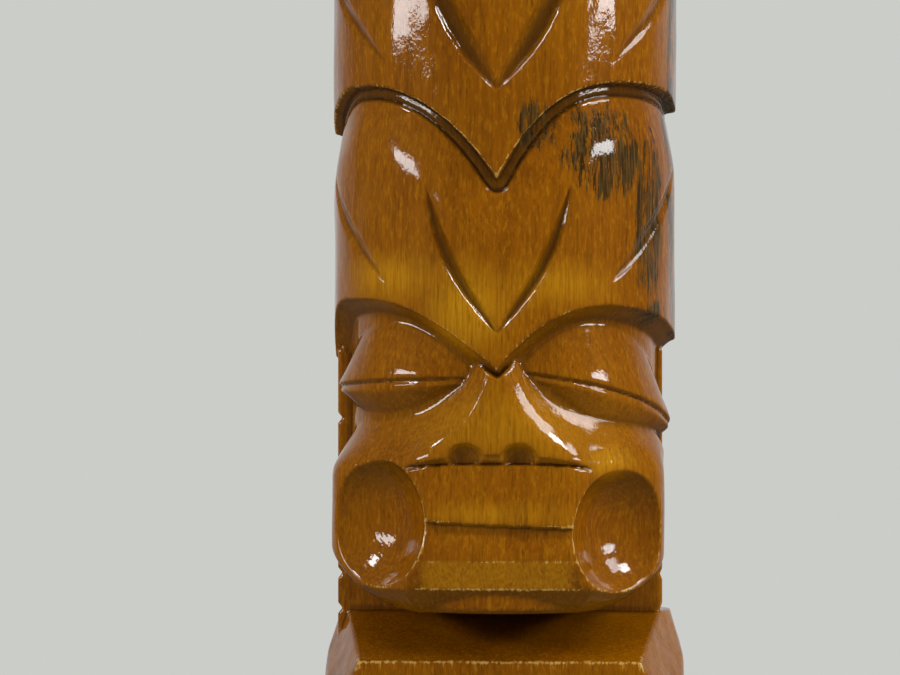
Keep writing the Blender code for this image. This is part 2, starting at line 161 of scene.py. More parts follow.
def below_edge(arches, reach=34.0):
    """Distance from a band's edge over the whole table: positive below the edge."""
    turns = np.arange(-180, 181, 1.5)
    corners = edge_height(turns, arches)
    nearest = np.full((len(HEIGHTS), len(ANGLES)), reach)
    span = np.radians(turns[1] - turns[0]) * LOG_RADIUS
    for number in range(len(turns) - 1):
        off_turn = (ANGLES - turns[number] + 180) % 360 - 180
        columns = np.nonzero(np.abs(off_turn) < 30)[0]
        across = np.radians(off_turn[columns])[None, :] * LOG_RADIUS
        up = HEIGHTS[:, None] - corners[number]
        rise = corners[number + 1] - corners[number]
        share = np.clip((across * span + up * rise) / (span**2 + rise**2), 0, 1)
        off = np.hypot(across - share * span, up - share * rise)
        nearest[:, columns] = np.minimum(nearest[:, columns], off)
    return np.where(HEIGHTS[:, None] < edge_height(ANGLES, arches)[None, :], nearest, -nearest)


def blur(table, across, along):
    """Softens a table over so many millimetres. It wraps round the log."""
    rows, columns = table.shape
    doubled = np.concatenate([table, table[::-1]])
    up = np.fft.fftfreq(2 * rows, HEIGHT_STEP)[:, None]
    round_log = np.fft.rfftfreq(columns, ARC_STEP)[None, :]
    keep = np.exp(-2 * np.pi**2 * ((up * along) ** 2 + (round_log * across) ** 2))
    return np.fft.irfft2(np.fft.rfft2(doubled) * keep, s=doubled.shape)[:rows]


def knife_marks(seed, across, along, height):
    """Unevenness left by hand tools, longer up the log than across it."""
    marks = np.random.default_rng(seed).normal(size=(len(HEIGHTS), len(ANGLES)))
    marks = blur(marks, across, along)
    return marks * height / marks.std()


def headdress(z):
    """The bands' radius, and a mask over the channel under each band's edge, where shade is painted."""
    radius = LOG_RADIUS - 0.8 * (1 - smooth_step(380, 620, z))
    channel_shade = np.zeros_like(z)
    for arches in BANDS:
        down = below_edge(arches)
        wall = CHANNEL_DEPTH * (np.maximum(down, 0) / CHANNEL_WIDTH) ** 0.85
        channel = np.minimum(wall, CHANNEL_DEPTH - 3.0 * (down - CHANNEL_WIDTH))
        shoulder = 0.21 * soft_positive(22.5 - down, 3.5)
        radius = radius - np.where(down > 0, smooth_max(channel, shoulder, 0.4), 0)
        # Painted shade: a mask over the channel, darkened in the wood's colour.
        dark = smooth_step(0, 1.5, down) * smooth_step(CHANNEL_WIDTH + 0.8, CHANNEL_WIDTH + 0.2, down)
        channel_shade = np.maximum(channel_shade, 3 * dark)
    return radius, channel_shade


# Gouge strokes: start (angle, height), end (angle, height), bow in degrees, half width, depth
STROKES = []
NEAR_RISE = 57  # how far up the log the long strokes and the shorter ones reach
FAR_RISE = 46


def add_strokes(base, side_base, turn, near_width, near_depth):
    """Two long strokes that meet low on one face of a band, and two shorter ones beside them."""
    for side in (-1, 1):
        top = min(base + NEAR_RISE, TOP_Z + 8)
        share = (top - base) / NEAR_RISE
        near = (turn + side * (0.4 + 24 * share), top), (turn + side * 0.4, base)
        STROKES.append((*near, side * 4.2 * share, near_width, near_depth))
        far_top = min(side_base + FAR_RISE, TOP_Z + 8)
        share = (far_top - side_base) / FAR_RISE
        far = (turn + side * (40 + 42 * share), far_top), (turn + side * 40, side_base)
        STROKES.append((*far, side * 2.5 * share, 3.4, 1.3))


for face_turn in (0, 180):
    add_strokes(367.0, 387, face_turn, 3.0, 2.6)
    add_strokes(459.5, 471, face_turn, 5.0, 3.4)
    add_strokes(540.5, 562, face_turn, 5.0, 3.4)


def stroke_cut(angle, z, stroke):
    """Depth of one round gouge stroke, pointed at both ends."""
    start, end, bow, half_width, depth = stroke
    steps = 7
    cut = np.zeros_like(z)
    nearest = np.full_like(z, 1e9)
    for step in range(steps):
        ends = []
        for share in (step / steps, (step + 1) / steps):
            turned = start[0] + (end[0] - start[0]) * share + bow * np.sin(np.pi * share)
            ends.append((np.radians(turned) * LOG_RADIUS, start[1] + (end[1] - start[1]) * share))
        (ax, az), (bx, bz) = ends
        dx, dz = bx - ax, bz - az
        length = np.hypot(dx, dz)
        px = np.radians(angle) * LOG_RADIUS - ax
        pz = z - az
        share = np.clip((px * dx + pz * dz) / length**2, 0, 1)
        off = np.hypot(px - share * dx, pz - share * dz)
        outer = (px * dz - pz * dx) * np.sign(bow) < 0
        along = (step + share) / steps
        swell = np.sin(np.pi * np.clip(0.95 * along, 0.001, 0.999)) ** 0.7
        width = half_width * swell * np.where(outer, 0.8, 1.2)
        closer = off < nearest
        here = depth * swell * np.clip(1 - (off / width) ** 2, 0, 1)
        cut = np.where(closer, here, cut)
        nearest = np.where(closer, off, nearest)
    return cut


def all_strokes(angle, z):
    """Depth of the gouge strokes at each point of the unrolled log."""
    cut = np.zeros_like(z)
    for stroke in STROKES:
        start, end, bow = stroke[:3]
        lean = 6 + abs(bow)
        low_angle, high_angle = min(start[0], end[0]) - lean, max(start[0], end[0]) + lean
        turned = np.where(angle < low_angle, angle + 360, angle)
        inside = (turned < high_angle) & (z < start[1] + 4) & (z > end[1] - 4)
        where = np.nonzero(inside)[0]
        if len(where):
            cut[where] = np.maximum(cut[where], stroke_cut(turned[where], z[where], stroke))
    return cut


# Face ------------------------------------------------------------------------

MUZZLE_RADIUS = LOG_RADIUS - 0.6
CHIN_Z = 259.6
LIP_Z = 316.8
LIP_ANGLE = 31.0
BEVEL_LOW = 269.4  # the lower lip is bevelled between these heights
BEVEL_HIGH = 280.2
FOLD_Z = 314.5  # the fold beside the nose ends at this height on the cheek
NOSTRILS = ((-12.4, 317.0), (8.8, 316.6))  # across, height
NOSTRIL_RADIUS = 9.6

# The jaw is squared off: a flat front and sides, and a flat corner that holds each dish.
# Angle and height of a dish's middle, the corner's distance from the axis, and the rim's radius.
DISHES = ((-41.5, 294.4, 69.6, 24.6), (42.5, 290.6, 69.0, 23.8))
DISH_DEPTH = 12.5
JAW_SIDES = (66.5, 63.5)

# An eye on the left and on the right: inner and outer corner, the lid line's height at the
# nose, its slope and bend outwards, the heights of the eye above and below it, and two curves.
EYES = (
    (4.0, 88.0, 350.0, 0.0, 0.0006, 23.5, 0.8, 15.5, 0.8),
    (5.0, 92.0, 353.0, 0.1, 0.0019, 26.0, 0.6, 17.0, 0.7),
)


def eye_radius(off_front, z, eye):
    """A mound with a closed lid; it draws in again below the lid line. Nothing outside the eye."""
    inner, outer, lid_z, lid_slope, lid_bend, high, high_curve, low, low_curve = eye
    share = (off_front - inner) / (outer - inner)
    bow = np.sin(np.pi * np.clip(share, 0.001, 0.999))
    lid = lid_z - lid_slope * off_front - lid_bend * off_front**2
    rim = LOG_RADIUS - 8.3 - 1.0 * smooth_step(70, 90, off_front)
    proud = LOG_RADIUS - 7.5 + 5.6 * smooth_step(0, 0.36, share) - 2.5 * smooth_step(0.86, 1, share)
    upper = np.clip((z - lid) / (high * bow**high_curve), -1, 2)
    above = proud - (proud - rim) * (np.sqrt(upper**2 + 0.02) - 0.14) / 0.87
    strip = 1.0 + 2.6 * bow
    lower = np.clip((lid - strip - z) / (low * bow**low_curve - strip), -1, 2)
    below = proud - 0.5 - 7.5 * np.clip(lower, 0, 2) ** 1.2
    slit = 1.1 * np.exp(-(((z - lid + 0.9) / 0.7) ** 2))
    radius = np.where(z > lid, above, below - slit)
    outside = (share < 0) | (share > 1) | (upper > 1) | (lower > 1.15)
    return np.where(outside, 0, radius)


def jaw_radius(angle, z):
    """The squared jaw seen from above, with the mouth's panels on its flat front."""
    turn = np.radians(angle)
    across = np.sin(turn) * LOG_RADIUS
    facing = np.maximum(np.cos(turn), 0.05)
    radius = (LOG_RADIUS - 0.3 - mouth_depth(angle, across, z) - across**2 / 700) / facing
    for (dish_angle, _, corner, _), side in zip(DISHES, JAW_SIDES):
        toward = np.maximum(np.cos(turn - np.radians(dish_angle)), 0.05)
        radius = smooth_min(radius, (corner + 0.3) / toward, 3)
        sideways = np.maximum(np.sin(turn) * np.sign(dish_angle), 0.05)
        radius = smooth_min(radius, side / sideways, 6)
    return np.minimum(radius, 80) - 0.85 * soft_positive(BEVEL_LOW - z, 0.4)


def mouth_depth(angle, across, z):
    """How far each panel of the mouth lies behind the jaw's front."""
    line = 293.8 - 0.045 * across
    upper = 1.5 - 1.4 * smooth_step(317, 298, z)
    lower = 2.3 - 1.3 * smooth_step(line - 0.5, 282, z)
    depth = np.where(z > line, upper, lower)
    depth = depth + 0.42 * (soft_positive(BEVEL_HIGH - z, 0.25) - soft_positive(BEVEL_LOW - z, 0.25))
    return depth * smooth_step(LIP_ANGLE + 3, LIP_ANGLE - 4, np.abs(angle)) * (z < lip_height(angle))


def cheek_radius(angle, z):
    """Muzzle, nose and cheeks. The cheeks fall away past a fold that runs down beside the nose."""
    off_front = np.abs(angle)
    sweep = 36.5 * np.exp(-off_front / 13)
    root = 8 * np.exp(-off_front / 4)
    fold = FOLD_Z + sweep + root
    fold_slope = (sweep / 13 + root / 4) / 1.2
    past_fold = (z - fold) / np.sqrt(1 + fold_slope**2)
    squared = smooth_step(fold + 14, fold - 4, z)
    nose = 1.3 * np.exp(-((angle / 17) ** 2)) * smooth_step(358, 332, z) * (z > lip_height(angle))
    cheek = jaw_radius(angle, z) * squared + MUZZLE_RADIUS * (1 - squared)
    cheek = cheek + nose - lip_recess(angle, z)
    left_flank = (0.44 + 0.5 * np.exp(-off_front / 8)) * soft_positive(past_fold - 1.0, 1.6)
    right_flank = (0.1 + 0.62 * np.exp(-off_front / 16)) * soft_positive(past_fold - 0.5, 1.2)
    right_flank = right_flank + 0.35 * soft_positive(past_fold - 6.5, 1.5)
    cheek = cheek - np.where(angle < 0, left_flank, right_flank)
    cheek_end = 84 - 14 * smooth_step(312, 336, z)
    return cheek - 1.5 * soft_positive(off_front - cheek_end, 3)


def face_radius(angle, z, under_brow):
    """Cheeks and nose, the two eyes, and the cove under the brow."""
    cheek = cheek_radius(angle, z) - 6 * smooth_step(3.2, 1.6, under_brow)
    left, right = (eye_radius(np.abs(angle), z, eye) for eye in EYES)
    eye = np.where(angle < 0, left, right)
    cove = LOG_RADIUS - 1.4 - 6.6 * (np.clip(under_brow, 0, 5.5) / 5.5) ** 0.7
    return np.maximum(smooth_max(cheek, cove, 0.6), eye)


def lip_recess(angle, z):
    """The upper lip is cut back towards the mouth's panel, deepest along the lip line."""
    taper = np.clip(1 - (angle / LIP_ANGLE) ** 2, 0, 1)
    over_lip = z - lip_height(angle)
    share = over_lip / (0.3 + 3.4 * taper)
    recess = 3.0 * np.sqrt(taper) * (1 - 0.65 * share) + 1.8 * taper**0.3 * smooth_step(1.3, 0.5, over_lip)
    return recess * (share > 0) * (share < 1)


def lip_height(angle):
    """The lip line droops a little at its ends."""
    return LIP_Z - 2.0 * np.abs(np.clip(angle / LIP_ANGLE, -1.2, 1.2)) ** 3


def jaw_bottom(x):
    """The jaw's underside curves up at both sides."""
    return CHIN_Z + 0.0114 * np.maximum(np.abs(x) - 30, 0) ** 2.09


def carve_relief():
    """The whole head as a table: bands, gouge strokes and face. A second table marks the strokes and
    channels that get painted shade.
    """
    angle, z = np.meshgrid(ANGLES, HEIGHTS)
    under_brow = below_edge(BROW)
    bands, cut_shade = headdress(z)
    relief = np.where(under_brow < 0, bands, face_radius(angle, z, under_brow))
    strokes = all_strokes(angle.reshape(-1), z.reshape(-1)).reshape(relief.shape)
    relief = relief - strokes + knife_marks(5, 5.0, 11.0, 0.16) + knife_marks(8, 1.6, 5.0, 0.03)
    cut_shade = np.where(under_brow < 0, np.maximum(cut_shade, strokes), 0)
    return blur(relief, 0.3, 0.3).astype(np.float32), cut_shade.astype(np.float32)


RELIEF, CUT_SHADE = carve_relief()


def read_table(table, angle, z):
    """A table's value between its points."""
    column = (angle + 180) / ANGLE_STEP
    row = np.clip((z - HEIGHTS[0]) / HEIGHT_STEP, 0, len(HEIGHTS) - 1.01)
    left, low = np.floor(column).astype(np.int64), np.floor(row).astype(np.int64)
    column, row = column - left, row - low
    left = left % len(ANGLES)
    right = (left + 1) % len(ANGLES)
    lower = table[low, left] * (1 - column) + table[low, right] * column
    upper = table[low + 1, left] * (1 - column) + table[low + 1, right] * column
    return lower * (1 - row) + upper * row


HAIR_RADIUS = 64.8
HAIR_OFF = 1.8
HAIR_TOP = 366
HAIR_NOTCHES = (362, 333, 302, 271, 257)


def hair(x, y, z):
    """The column behind the face and the neck, parted by level notches."""
    radius = np.hypot(x + HAIR_OFF, y)
    notch = np.zeros_like(z)
    for height in HAIR_NOTCHES:
        notch = np.maximum(notch, np.where(x < 0, 1.8, 1.0) * np.clip(1 - np.abs(z - height) / 2.2, 0, 1))
    spine = 2.4 * np.clip(1 - np.abs(x) / 2.6, 0, 1)
    column = radius - HAIR_RADIUS + np.maximum(notch, spine)
    return smooth_max(smooth_max(column, -4 - y, 1.5), z - HAIR_TOP, 1)


def head(x, y, z):
    """The relief with nostrils and dishes cut into it, and the hair behind."""
    angle = np.degrees(np.arctan2(x, -y))
    radius = np.hypot(x, y)
    wood = radius - read_table(RELIEF, angle, z)
    lip = lip_height(angle)
    for across, height in NOSTRILS:
        scoop = ball(x, y, z, (across, -LOG_RADIUS - 4.5, height), (NOSTRIL_RADIUS,) * 3)
        scoop = np.maximum(scoop, lip - z)
        wood = smooth_max(wood, -scoop, 0.3)
    for dish_angle, height, corner, rim in DISHES:
        wood = smooth_max(wood, -dish(x, y, z, dish_angle, height, corner, rim), 0.6)
    wood = smooth_max(wood, np.where(y < 0, jaw_bottom(x), CHIN_Z) - z, 4.0)
    wood = smooth_min(wood, hair(x, y, z), 0.4)
    return smooth_max(wood, z - TOP_Z + 0.5 * ripple(x, y, 0, 30) + 0.4, 2.5)


def dish(x, y, z, angle, height, corner, rim):
    """A round hollow turned into the flat corner of the jaw, with faint rings left by the gouge."""
    bowl_radius = (rim**2 + DISH_DEPTH**2) / (2 * DISH_DEPTH)
    turn = np.radians(angle)
    reach = corner + bowl_radius - DISH_DEPTH
    centre = (np.sin(turn) * reach, -np.cos(turn) * reach, height)
    sideways = (x - centre[0]) * np.cos(turn) + (y - centre[1]) * np.sin(turn)
    from_middle = np.hypot(sideways, z - height)
    rings = 0.05 * np.sin(2 * np.pi * from_middle / 1.7)
    return ball(x, y, z, centre, (bowl_radius,) * 3) + rings * smooth_step(rim, rim - 4, from_middle)


# Body ------------------------------------------------------------------------

SHOULDER_Z = 240.0
NECK_Z = 256.0
CHEST_Y = -44.5
PECTORAL_Z = 184.0
HAND_Z = 146.0
KNEE_Z = 104.0
BLOCK_TOP_Z = 50.0


def plane(x, y, z, point, normal):
    """Distance in front of a plane through `point`."""
    normal = np.array(normal) / np.linalg.norm(normal)
    return (x - point[0]) * normal[0] + (y - point[1]) * normal[1] + (z - point[2]) * normal[2]


def limb(x, y, z, points, radii, width):
    """Round limbs joined end to end through `points`."""
    solid = np.full_like(z, 1e3)
    for number in range(len(points) - 1):
        part = rod(x, y, z, points[number], points[number + 1], radii[number], radii[number + 1])
        solid = smooth_min(solid, part, width)
    return solid


def shoulders(x, y, z):
    """A square yoke: sloping top, chamfered corners, and two breasts with curved lower edges."""
    side = np.abs(x)
    edge = (54.5, CHEST_Y, SHOULDER_Z)
    solid = plane(side, y, z, edge, (0, -1, 0.02))
    solid = smooth_max(solid, plane(side, y, z, edge, (0, -0.37, 0.93)), 0.7)
    solid = smooth_max(solid, plane(side, y, z, edge, (0.85, -0.3, 0.35)), 0.7)
    solid = smooth_max(solid, plane(side, y, z, (66, 0, NECK_Z), (0.95, 0, 0.3)), 0.7)
    solid = smooth_max(solid, plane(side, y, z, (60, 20, NECK_Z), (0.2, 0.35, 0.9)), 1.5)
    solid = smooth_max(solid, plane(side, y, z, (0, 62, SHOULDER_Z), (0, 1, 0.1)), 1.5)
    solid = smooth_max(solid, z - NECK_Z, 0.8)
    scallop = PECTORAL_Z + 7 * (np.abs(side - 30) / 30) ** 2.4
    lower = np.where(y < 0, scallop, PECTORAL_Z + 4 * np.abs(side / 50) ** 2)
    solid = smooth_max(solid, lower - z, 1.5)
    line = 2.2 * np.clip(1 - side / 2.4, 0, 1)
    return solid + np.where((y < -30) & (z < SHOULDER_Z - 8), line, 0)


def arm(x, y, z):
    """Upper arm along the side, bent elbow, and a hand laid on the belly."""
    side = np.abs(x)
    points = ((54, 2, 200), (55, 8, 164), (52, -6, HAND_Z), (38, -42, HAND_Z + 1), (17, -57, HAND_Z + 5))
    solid = limb(side, y, z, points, (16, 15, 15, 12, 9.5), 2)
    fingers = np.abs((z - HAND_Z - 4.5 + 2.25) % 4.5 - 2.25)
    cut = 1.3 * np.clip(1 - fingers / 0.9, 0, 1)
    on_hand = (side < 27) & (y < -46)
    wrist = 1.2 * np.clip(1 - np.abs(side - 31 + 0.1 * (z - HAND_Z)) / 1.2, 0, 1)
    return solid + np.where(on_hand, cut, 0) + np.where(y < -30, wrist, 0)


def leg(x, y, z):
    """Bent thigh, knee and shin, with the foot."""
    side = np.abs(x)
    points = ((36, 16, 126), (38, -30, KNEE_Z + 4), (37, -24, KNEE_Z - 18), (35, 2, BLOCK_TOP_Z + 2))
    return smooth_min(limb(side, y, z, points, (30, 29, 26, 23), 3), foot(side, y, z), 2)


def foot(side, y, z):
    """Heel to square toes, with the toes parted by gouge cuts."""
    top = BLOCK_TOP_Z + 18 - 0.23 * np.maximum(0, -14 - y) - 0.1 * np.maximum(0, y + 14)
    solid = block(side, y, z, (10, -56, BLOCK_TOP_Z - 6), (57, 33, BLOCK_TOP_Z + 24), 3)
    solid = smooth_max(solid, z - top, 3)
    toes = np.minimum(np.abs(side - 21.5), np.minimum(np.abs(side - 33), np.abs(side - 44.5)))
    cut = 2.6 * np.clip(1 - toes / 1.9, 0, 1) * smooth_step(-38, -44, y)
    nail = 0.6 * smooth_step(-50, -52, y) * (z > BLOCK_TOP_Z + 5)
    return solid + cut + nail


def body(x, y, z):
    """Everything below the head, kept inside the round log."""
    trunk = rod(x, y, z, (0, 4, 130), (0, 2, 178), 50, 55)
    belly = ball(x, y, z, (0, -28, 148), (38, 33, 30))
    navel = ball(x, y, z, (0, -62, 136), (3.2, 4, 3.2))
    trunk = smooth_max(smooth_min(trunk, belly, 4), -navel, 0.8)
    seat = ball(np.abs(x), y, z, (24, 28, 128), (34, 32, 30))
    trunk = smooth_min(trunk, seat, 2)
    solid = smooth_min(trunk, leg(x, y, z), 1.5)
    solid = smooth_min(solid, arm(x, y, z), 1.0)
    solid = smooth_min(solid, shoulders(x, y, z), 1.0)
    foot_block = smooth_max(np.hypot(x, y) - BODY_RADIUS, z - BLOCK_TOP_Z, 2)
    solid = smooth_min(solid, foot_block, 1.2)
    solid = smooth_max(solid, np.hypot(x, y) - BODY_RADIUS, 1.0)
    solid = solid + 0.3 * ripple(x, y, z, 34) + 0.1 * ripple(y, x, z, 13)
    solid = smooth_min(solid, np.maximum(hair(x, y, z), 228 - z), 0.4)
    return smooth_max(solid, FOOT_Z - z, 0.8)


def figure(points):
    """The whole carved log at an array of points."""
    x, y, z = (np.ascontiguousarray(points[:, axis]) for axis in range(3))
    field = np.full(len(x), 1e3, dtype=np.float32)
    for low, high, part in ((-1e3, BODY_HIGH, body), (HEAD_LOW, 1e3, head)):
        where = np.nonzero((z > low) & (z < high))[0]
        if len(where):
            found = part(x[where], y[where], z[where])
            field[where] = np.minimum(field[where], found)
    return field


# Mesh ------------------------------------------------------------------------


def sample(points, batch=400000):
    """The field at many points, in batches that fit in memory."""
    pieces = [figure(points[start:start + batch]) for start in range(0, len(points), batch)]
    return np.concatenate(pieces)


def fill_grid(low, counts, coarse):
    """The field on a fine grid, worked out only near the surface and copied elsewhere."""
    cells = (np.array(counts) // coarse) + 1
    corners = np.stack(np.meshgrid(*[np.arange(n + 1) for n in cells], indexing="ij"), -1)
    flat = corners.reshape(-1, 3) * coarse * VOXEL + low
    rough = sample(flat.astype(np.float32)).reshape(corners.shape[:3])
    inside = rough < 0
    mixed = np.zeros(cells, dtype=bool)
    solid = inside[:-1, :-1, :-1]
    for shift in np.ndindex(2, 2, 2):
        ends = tuple(slice(s, s + n) for s, n in zip(shift, cells))
        mixed |= inside[ends] != solid
    grown = mixed.copy()
    for axis in range(3):
        wider = grown.copy()
        front = [slice(None)] * 3
        back = [slice(None)] * 3
        front[axis], back[axis] = slice(1, None), slice(None, -1)
        wider[tuple(front)] |= grown[tuple(back)]
        wider[tuple(back)] |= grown[tuple(front)]
        grown = wider
    shape = cells * coarse
    far = np.where(solid, np.float32(-9), np.float32(9))
    field = far.repeat(coarse, 0).repeat(coarse, 1).repeat(coarse, 2)
    near = grown.repeat(coarse, 0).repeat(coarse, 1).repeat(coarse, 2)
    index = np.nonzero(near.reshape(-1))[0]
    grid = np.stack(np.unravel_index(index, tuple(shape)), -1).astype(np.float32)
    field.reshape(-1)[index] = sample(grid * VOXEL + low.astype(np.float32))
    return field


def surface_net(field, low):
    """Vertices and quads of the zero surface: one vertex in each cell that it passes through."""
    inside = field < 0
    shape = np.array(field.shape)
    strides = np.array([shape[1] * shape[2], shape[2], 1])
    cell_ids = []
    crossings = []
    quads = []
    for axis in range(3):
        first = [slice(1, -1)] * 3
        second = [slice(1, -1)] * 3
        first[axis], second[axis] = slice(0, -1), slice(1, None)
        start = np.stack(np.nonzero(inside[tuple(first)] != inside[tuple(second)]), -1)
        start += np.array([0 if other == axis else 1 for other in range(3)])
        flat = start @ strides
        near = field.reshape(-1)[flat]
        far = field.reshape(-1)[flat + strides[axis]]
        place = start.astype(np.float32)
        place[:, axis] += near / (near - far)
        u, v = strides[(axis + 1) % 3], strides[(axis + 2) % 3]
        around = np.stack([flat, flat - u, flat - u - v, flat - v], -1)
        flip = near > 0
        around[flip] = around[flip][:, ::-1]
        cell_ids.append(around.reshape(-1))
        crossings.append(np.repeat(place, 4, axis=0))
        quads.append(around)
    ids = np.concatenate(cell_ids)
    points = np.concatenate(crossings)
    used, place_of = np.unique(ids, return_inverse=True)
    count = np.bincount(place_of)
    mean = [np.bincount(place_of, weights=points[:, axis]) / count for axis in range(3)]
    vertices = np.stack(mean, -1) * VOXEL + low
    return vertices, np.searchsorted(used, np.concatenate(quads))


def slopes(points, reach):
    """The field, its gradient, and how it bends, from six neighbours at `reach`."""
    middle = sample(points.astype(np.float32))
    gradient = np.zeros((len(points), 3))
    bend = -6 * middle
    for axis in range(3):
        shift = np.zeros(3)
        shift[axis] = reach
        ahead = sample((points + shift).astype(np.float32))
        behind = sample((points - shift).astype(np.float32))
        gradient[:, axis] = (ahead - behind) / (2 * reach)
        bend = bend + ahead + behind
    return middle, gradient, bend / reach**2


def settle(vertices):
    """Moves vertices onto the surface, by at most half a cell."""
    for _ in range(2):
        value, gradient, _ = slopes(vertices, 0.5)
        square = np.maximum((gradient**2).sum(1), 0.25)
        step = gradient * (value / square)[:, None]
        length = np.linalg.norm(step, axis=1)
        step *= np.minimum(1, 0.5 * VOXEL / np.maximum(length, 1e-9))[:, None]
        vertices = vertices - step
    return vertices


def mesh_from_arrays(name, vertices, quads):
    mesh = bpy.data.meshes.new(name)
    mesh.vertices.add(len(vertices))
    mesh.vertices.foreach_set("co", vertices.astype(np.float32).reshape(-1))
    mesh.loops.add(quads.size)
    mesh.loops.foreach_set("vertex_index", quads.astype(np.int32).reshape(-1))
    mesh.polygons.add(len(quads))
    mesh.polygons.foreach_set("loop_start", np.arange(0, quads.size, 4, dtype=np.int32))
    mesh.update(calc_edges=True)
    mesh.shade_smooth()
    return mesh


def carve_figure():
    coarse = 4
    low = FIGURE_LOW - 4
    counts = np.ceil((FIGURE_HIGH + 4 - low) / VOXEL).astype(int)
    field = fill_grid(low, counts, coarse)
    vertices, quads = surface_net(field, low)
    vertices = settle(vertices)
    mesh = mesh_from_arrays("carved_log", vertices * MM, quads)
    _, gradient, bend = slopes(vertices, 1.2)
    _, _, wide_bend = slopes(vertices, 4.0)
    steep = np.maximum(np.linalg.norm(gradient, axis=1), 0.5)
    add_layer(mesh, "bend", bend / steep)
    add_layer(mesh, "wide_bend", wide_bend / steep)
    paint_layers(mesh, vertices)
    carved = bpy.data.objects.new("carved_log", mesh)
    bpy.context.scene.collection.objects.link(carved)
    return carved


# Materials -------------------------------------------------------------------


def colour(red, green, blue):
    """A colour as it looks on a screen, 0 to 255, turned into the shader's linear values."""
    shares = np.array((red, green, blue)) / 255
    linear = np.where(shares <= 0.04045, shares / 12.92, ((shares + 0.055) / 1.055) ** 2.4)
    return (*(float(value) for value in linear), 1.0)


def new_material(name, paint, roughness, metallic=0.0):
    material = bpy.data.materials.new(name)
    material.use_nodes = True
    shader = material.node_tree.nodes["Principled BSDF"]
    shader.inputs["Base Color"].default_value = paint
    shader.inputs["Roughness"].default_value = roughness
    shader.inputs["Metallic"].default_value = metallic
    return material, shader


def add(tree, kind, inputs=None, **settings):
    """Adds a node. An input is given as a value or as the socket that feeds it."""
    node = tree.nodes.new("ShaderNode" + kind)
    for key, value in settings.items():
        setattr(node, key, value)
    for socket, value in (inputs or {}).items():
        if isinstance(value, bpy.types.NodeSocket):
            tree.links.new(value, node.inputs[socket])
        else:
            node.inputs[socket].default_value = value
    return node


def calculate(tree, operation, first, second=0.0):
    return add(tree, "Math", {0: first, 1: second}, operation=operation).outputs[0]


def remap(tree, value, low, high, new_low=0.0, new_high=1.0, smooth=False):
    kind = "SMOOTHSTEP" if smooth else "LINEAR"
    inputs = {"Value": value, "From Min": low, "From Max": high, "To Min": new_low, "To Max": new_high}
    return add(tree, "MapRange", inputs, interpolation_type=kind).outputs["Result"]


def attribute(tree, name):
    return add(tree, "Attribute", attribute_name=name).outputs["Fac"]


def blend(tree, share, first, second):
    """Mixes two colours, each a value or a socket."""
    node = add(tree, "Mix", {"Factor": share}, data_type="RGBA")
    for socket, value in ((node.inputs[6], first), (node.inputs[7], second)):
        if isinstance(value, bpy.types.NodeSocket):
            tree.links.new(value, socket)
        else:
            socket.default_value = value
    return node.outputs[2]


def noise(tree, place, stretch, detail=2.0, roughness=0.5):
    """Noise whose grain is stretched: `stretch` is the repeats per metre along each axis."""
    mapped = add(tree, "Mapping", {"Vector": place, "Scale": stretch}).outputs[0]
    inputs = {"Vector": mapped, "Scale": 1.0, "Detail": detail, "Roughness": roughness}
    return add(tree, "TexNoise", inputs).outputs["Fac"]


def wood_grain(tree, place, pith, ring_width):
    """Growth rings, streaks and pores of a board or log whose grain runs along Z."""
    warp = add(tree, "TexNoise", {"Vector": place, "Scale": 9.0, "Detail": 3.0}).outputs["Color"]
    warp = add(tree, "VectorMath", {0: warp, 1: (0.5, 0.5, 0.5)}, operation="SUBTRACT").outputs[0]
    warp = add(tree, "VectorMath", {0: warp, "Scale": 0.006}, operation="SCALE").outputs[0]
    warped = add(tree, "VectorMath", {0: place, 1: warp}, operation="ADD").outputs[0]
    from_pith = add(tree, "VectorMath", {0: warped, 1: pith}, operation="SUBTRACT").outputs[0]
    flat = add(tree, "VectorMath", {0: from_pith, 1: (1, 1, 0.03)}, operation="MULTIPLY").outputs[0]
    reach = add(tree, "VectorMath", {0: flat}, operation="LENGTH").outputs["Value"]
    ring_place = calculate(tree, "DIVIDE", reach, ring_width)
    rings = add(tree, "TexNoise", {"W": ring_place, "Detail": 4.0, "Roughness": 0.6}, noise_dimensions="1D")
    streaks = noise(tree, warped, (330, 330, 7), detail=5.0, roughness=0.65)
    pores = noise(tree, place, (1500, 1500, 150), detail=1.0)
    return rings.outputs["Fac"], streaks, remap(tree, pores, 0.66, 0.74)


def log_colour(tree, place, rings, streaks, fibres, mottle):
    """Golden-brown wood: rings, darker streaks and fibres, and lighter patches."""
    patches = noise(tree, place, (16, 16, 10), detail=3.0, roughness=0.6)
    paint = blend(tree, remap(tree, rings, 0.3, 0.7), colour(136, 74, 1), colour(154, 89, 2))
    paint = blend(tree, remap(tree, streaks, 0.35, 0.7, 0.0, 0.6), paint, colour(106, 54, 1))
    paint = blend(tree, remap(tree, patches, 0.4, 0.7, 0.0, 0.6), paint, colour(168, 104, 4))
    paint = blend(tree, remap(tree, fibres, 0.48, 0.7, 0.0, 0.42), paint, colour(84, 44, 2))
    return blend(tree, remap(tree, mottle, 0.5, 0.7, 0.0, 0.5), paint, colour(190, 126, 9))


